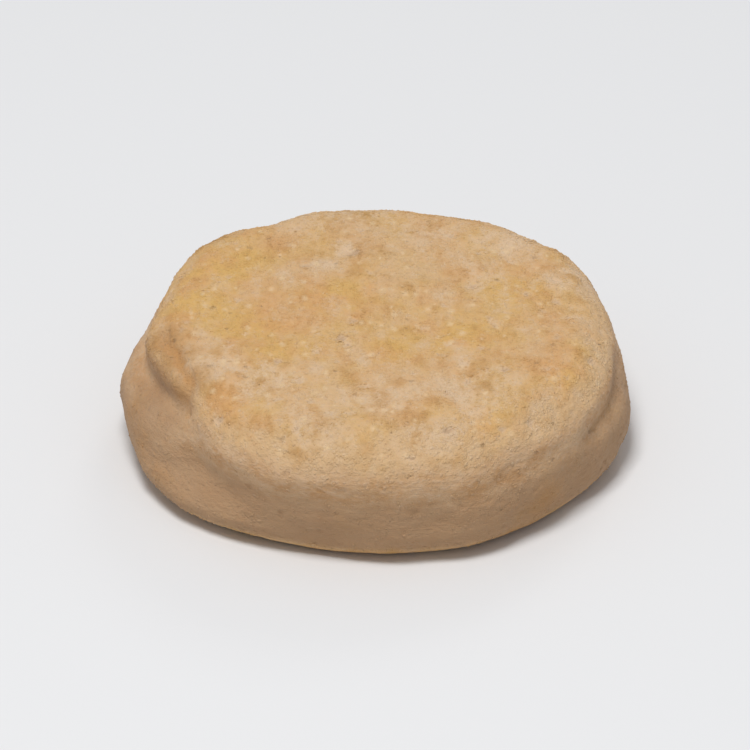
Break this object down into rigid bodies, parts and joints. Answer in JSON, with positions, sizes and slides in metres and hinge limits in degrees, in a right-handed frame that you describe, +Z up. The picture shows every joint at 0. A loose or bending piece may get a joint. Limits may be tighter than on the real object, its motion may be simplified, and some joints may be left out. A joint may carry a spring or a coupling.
{
  "type": "english muffin",
  "caption": "Round, flat griddle-baked english muffin with a browned, finely pitted top, rolled rims and a paler, creased wall.",
  "frame": {"origin": "middle of the flat base, on the surface that it rests on", "axes": "+Z up through the top face; +X to the right and -Y to the front as the muffin is seen with its pinched crease at the left"},
  "size_m": [0.0912, 0.0916, 0.0254],
  "materials": {
    "crust": "matte golden-tan baked crust with a light dusting of flour and meal"
  },
  "bodies": {
    "root": {"muffin": "crust"}
  },
  "joints": []
}
